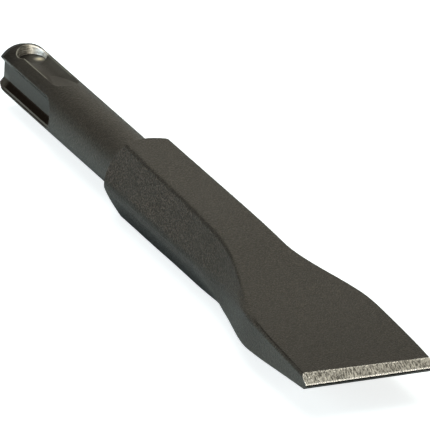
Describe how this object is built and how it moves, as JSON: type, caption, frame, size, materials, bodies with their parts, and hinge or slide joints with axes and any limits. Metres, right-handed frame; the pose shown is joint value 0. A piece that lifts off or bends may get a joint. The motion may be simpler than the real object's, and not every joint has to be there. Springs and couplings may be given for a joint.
{
  "type": "sds flat chisel",
  "caption": "Short flat chisel bit for a rotary hammer: grooved round shank, hexagonal body and a flared wedge blade with a ground edge.",
  "frame": {"origin": "centre of the struck rear face of the shank, on the tool's axis", "axes": "+X along the axis towards the cutting edge, +Z square to the flat of the blade, Y along the cutting edge"},
  "size_m": [0.14, 0.0233, 0.0136],
  "materials": {
    "coated_steel": "matt phosphate coating on forged steel, with a bare ground cutting edge"
  },
  "bodies": {
    "root": {"flat_chisel": "coated_steel"}
  },
  "joints": []
}
